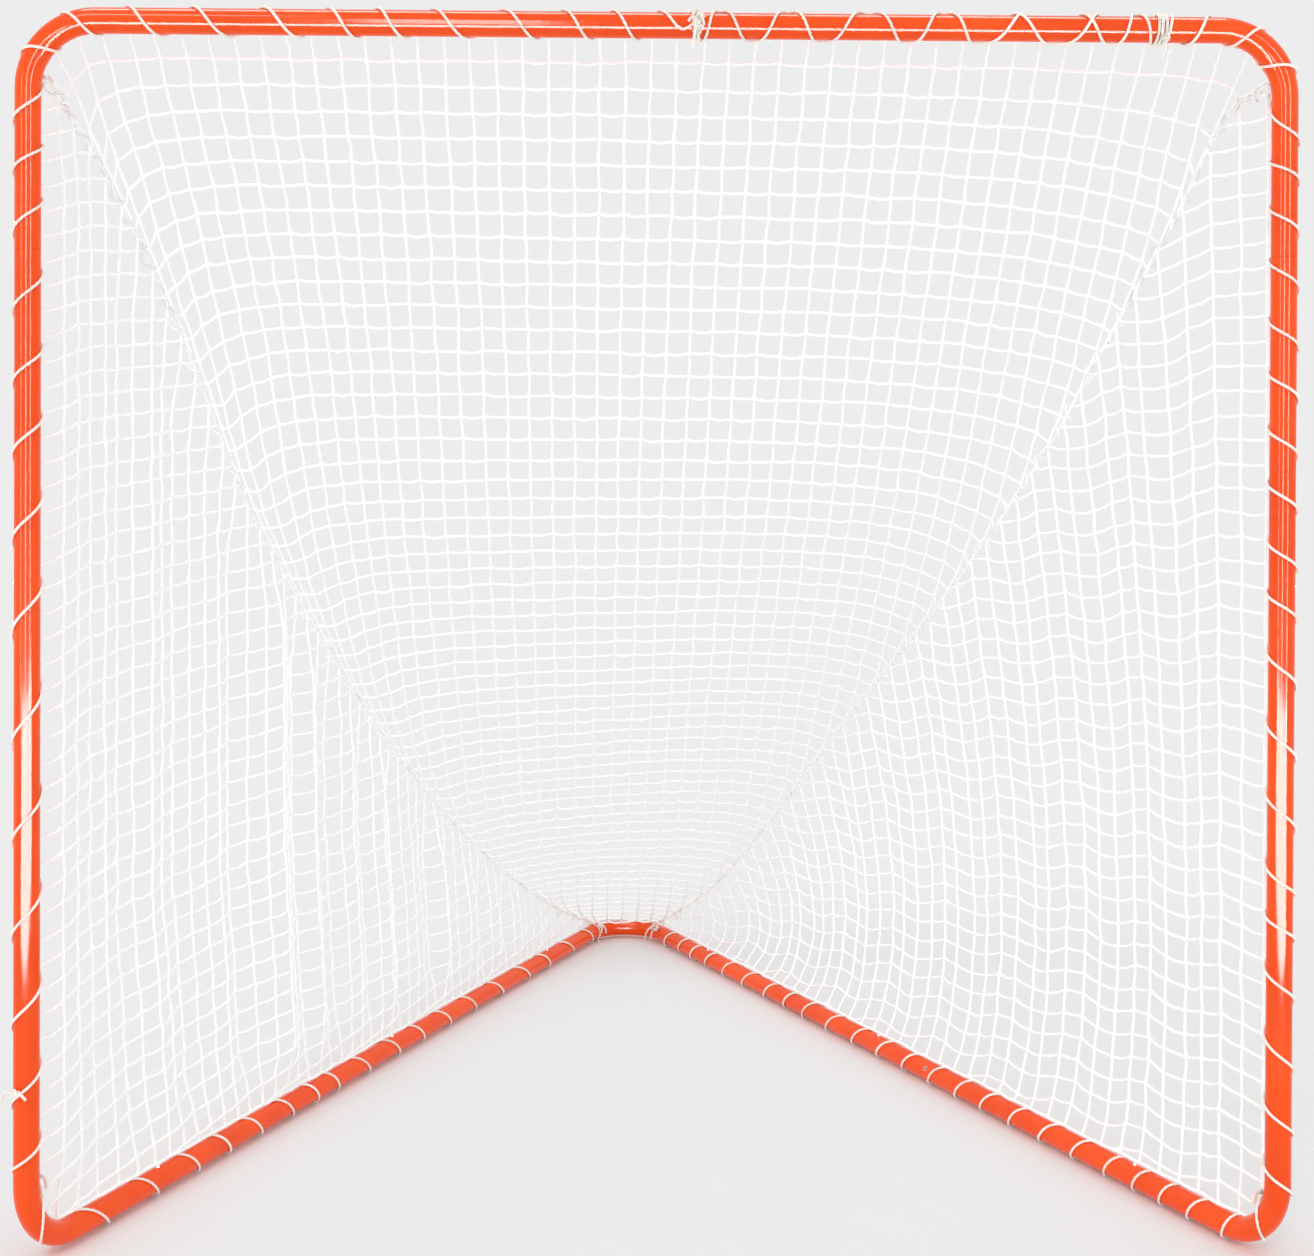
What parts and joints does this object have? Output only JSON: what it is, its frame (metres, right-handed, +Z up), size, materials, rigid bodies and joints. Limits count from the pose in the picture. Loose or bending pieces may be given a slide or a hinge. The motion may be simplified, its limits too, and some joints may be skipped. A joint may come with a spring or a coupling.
{
  "type": "lacrosse goal",
  "caption": "Free-standing lacrosse goal: orange tube frame with a square mouth and a V-shaped base, plugged together with spring buttons, and a white net laced to it.",
  "frame": {"origin": "on the ground, at the middle of the footprint", "axes": "+X along the crossbar to the right seen from the mouth, +Y from the mouth to the rear bend, +Z up"},
  "size_m": [1.916, 2.1394, 1.876],
  "materials": {
    "orange_tube": "glossy orange powder coat on round steel tube",
    "button_steel": "plated steel dome, polished by use",
    "spring_steel": "bare spring strip",
    "eyelet_steel": "bright rolled eyelet",
    "lacing_cord": "twisted off-white cord",
    "seam_cord": "twisted white cord",
    "net_twine": "white knotless braided twine"
  },
  "bodies": {
    "frame": {"base_eyelet": "eyelet_steel", "base_front_left": "orange_tube", "base_front_right": "orange_tube", "base_rear_left": "orange_tube", "base_rear_right": "orange_tube", "crossbar_corner_left": "orange_tube", "crossbar_corner_right": "orange_tube", "front_elbow_left": "orange_tube", "front_elbow_right": "orange_tube", "lacing_base_left": "lacing_cord", "lacing_base_right": "lacing_cord", "lacing_crossbar_left": "lacing_cord", "lacing_crossbar_right": "lacing_cord", "lacing_knots": "lacing_cord", "lacing_post_left": "lacing_cord", "lacing_post_right": "lacing_cord", "net_back": "net_twine", "net_side_left": "net_twine", "net_side_right": "net_twine", "post_middle_left": "orange_tube", "post_middle_right": "orange_tube", "rear_elbow": "orange_tube", "seam_cord_left": "seam_cord", "seam_cord_right": "seam_cord", "spring_base_front_left": "spring_steel", "spring_base_front_right": "spring_steel", "spring_base_middle_left": "spring_steel", "spring_base_middle_right": "spring_steel", "spring_base_rear_left": "spring_steel", "spring_base_rear_right": "spring_steel", "spring_crossbar": "spring_steel", "spring_post_lower_left": "spring_steel", "spring_post_lower_right": "spring_steel", "spring_post_upper_left": "spring_steel", "spring_post_upper_right": "spring_steel"},
    "button_crossbar": {"button_crossbar": "button_steel"},
    "button_post_upper_left": {"button_post_upper_left": "button_steel"},
    "button_post_lower_left": {"button_post_lower_left": "button_steel"},
    "button_base_front_left": {"button_base_front_left": "button_steel"},
    "button_base_middle_left": {"button_base_middle_left": "button_steel"},
    "button_base_rear_left": {"button_base_rear_left": "button_steel"},
    "button_post_upper_right": {"button_post_upper_right": "button_steel"},
    "button_post_lower_right": {"button_post_lower_right": "button_steel"},
    "button_base_front_right": {"button_base_front_right": "button_steel"},
    "button_base_middle_right": {"button_base_middle_right": "button_steel"},
    "button_base_rear_right": {"button_base_rear_right": "button_steel"}
  },
  "joints": [
    {"name": "press_crossbar", "type": "slide", "parent": "frame", "child": "button_crossbar", "axis": [0, 0, -1], "range_m": [0, 0.0055], "stiffness_N_per_m": 900, "springref_m": -0.003, "deforming": ["spring_crossbar"]},
    {"name": "press_post_upper_left", "type": "slide", "parent": "frame", "child": "button_post_upper_left", "axis": [1, 0, 0], "range_m": [0, 0.0055], "stiffness_N_per_m": 900, "springref_m": -0.003, "deforming": ["spring_post_upper_left"]},
    {"name": "press_post_lower_left", "type": "slide", "parent": "frame", "child": "button_post_lower_left", "axis": [1, 0, 0], "range_m": [0, 0.0055], "stiffness_N_per_m": 900, "springref_m": -0.003, "deforming": ["spring_post_lower_left"]},
    {"name": "press_base_front_left", "type": "slide", "parent": "frame", "child": "button_base_front_left", "axis": [0, 0, -1], "range_m": [0, 0.0055], "stiffness_N_per_m": 900, "springref_m": -0.003, "deforming": ["spring_base_front_left"]},
    {"name": "press_base_middle_left", "type": "slide", "parent": "frame", "child": "button_base_middle_left", "axis": [0, 0, -1], "range_m": [0, 0.0055], "stiffness_N_per_m": 900, "springref_m": -0.003, "deforming": ["spring_base_middle_left"]},
    {"name": "press_base_rear_left", "type": "slide", "parent": "frame", "child": "button_base_rear_left", "axis": [0, 0, -1], "range_m": [0, 0.0055], "stiffness_N_per_m": 900, "springref_m": -0.003, "deforming": ["spring_base_rear_left"]},
    {"name": "press_post_upper_right", "type": "slide", "parent": "frame", "child": "button_post_upper_right", "axis": [-1, 0, 0], "range_m": [0, 0.0055], "stiffness_N_per_m": 900, "springref_m": -0.003, "deforming": ["spring_post_upper_right"]},
    {"name": "press_post_lower_right", "type": "slide", "parent": "frame", "child": "button_post_lower_right", "axis": [-1, 0, 0], "range_m": [0, 0.0055], "stiffness_N_per_m": 900, "springref_m": -0.003, "deforming": ["spring_post_lower_right"]},
    {"name": "press_base_front_right", "type": "slide", "parent": "frame", "child": "button_base_front_right", "axis": [0, 0, -1], "range_m": [0, 0.0055], "stiffness_N_per_m": 900, "springref_m": -0.003, "deforming": ["spring_base_front_right"]},
    {"name": "press_base_middle_right", "type": "slide", "parent": "frame", "child": "button_base_middle_right", "axis": [0, 0, -1], "range_m": [0, 0.0055], "stiffness_N_per_m": 900, "springref_m": -0.003, "deforming": ["spring_base_middle_right"]},
    {"name": "press_base_rear_right", "type": "slide", "parent": "frame", "child": "button_base_rear_right", "axis": [0, 0, -1], "range_m": [0, 0.0055], "stiffness_N_per_m": 900, "springref_m": -0.003, "deforming": ["spring_base_rear_right"]}
  ]
}
